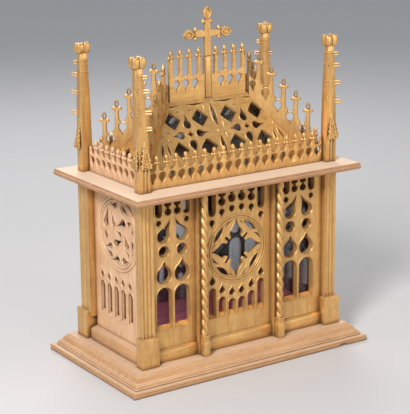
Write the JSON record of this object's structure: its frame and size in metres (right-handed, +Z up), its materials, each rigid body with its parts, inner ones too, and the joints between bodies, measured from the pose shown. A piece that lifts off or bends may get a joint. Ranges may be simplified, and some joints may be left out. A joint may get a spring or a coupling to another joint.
{
  "type": "reliquary",
  "caption": "Carved and gilded wooden reliquary shaped like a Gothic chapel, with pierced tracery walls, a hipped openwork roof, cresting, corner pinnacles and a cross over a satin-lined case.",
  "frame": {"origin": "middle of the slab's underside, at the resting surface", "axes": "+Z up from the base to the cross, +X to the right along the long front wall, -Y out of the front, where the two twisted colonnettes stand"},
  "size_m": [0.5, 0.296, 0.6213],
  "materials": {
    "gilded_wood": "carved wood under worn gilding, ochre with red-brown depths",
    "pale_gilding": "worn pale gilding over cream ground",
    "painted_board": "dark red painted board",
    "satin": "burgundy satin, soft sheen",
    "glass": "clear old window glass"
  },
  "bodies": {
    "root": {"base_moulding": "pale_gilding", "base_slab": "pale_gilding", "colonnette_left": "pale_gilding", "colonnette_right": "pale_gilding", "cornice_board": "pale_gilding", "crest_hip_back_left": "gilded_wood", "crest_hip_back_right": "gilded_wood", "crest_hip_front_left": "gilded_wood", "crest_hip_front_right": "gilded_wood", "crest_ridge_left": "gilded_wood", "crest_ridge_right": "gilded_wood", "cross": "gilded_wood", "cross_post": "gilded_wood", "floor": "painted_board", "gallery_back": "gilded_wood", "gallery_front": "gilded_wood", "gallery_left": "pale_gilding", "gallery_right": "pale_gilding", "glass_back": "glass", "glass_front": "glass", "glass_left": "glass", "glass_right": "glass", "glass_roof_back": "glass", "glass_roof_front": "glass", "glass_roof_left": "glass", "glass_roof_right": "glass", "mullion_back_left": "gilded_wood", "mullion_back_right": "gilded_wood", "mullion_front_left": "gilded_wood", "mullion_front_right": "gilded_wood", "panel_back_left": "gilded_wood", "panel_back_middle": "gilded_wood", "panel_back_right": "gilded_wood", "panel_front_left": "gilded_wood", "panel_front_middle": "gilded_wood", "panel_front_right": "gilded_wood", "panel_side_left": "pale_gilding", "panel_side_right": "pale_gilding", "pinnacle_back_left": "gilded_wood", "pinnacle_back_right": "gilded_wood", "pinnacle_front_left": "gilded_wood", "pinnacle_front_right": "gilded_wood", "post_back_left": "gilded_wood", "post_back_right": "gilded_wood", "post_front_left": "gilded_wood", "post_front_right": "gilded_wood", "roof_back": "gilded_wood", "roof_front": "gilded_wood", "roof_left": "gilded_wood", "roof_right": "gilded_wood", "satin_cushion": "satin", "sill_back_left": "gilded_wood", "sill_back_middle": "gilded_wood", "sill_back_right": "gilded_wood", "sill_front_left": "gilded_wood", "sill_front_middle": "gilded_wood", "sill_front_right": "gilded_wood", "sill_side_left": "pale_gilding", "sill_side_right": "pale_gilding"}
  },
  "joints": []
}
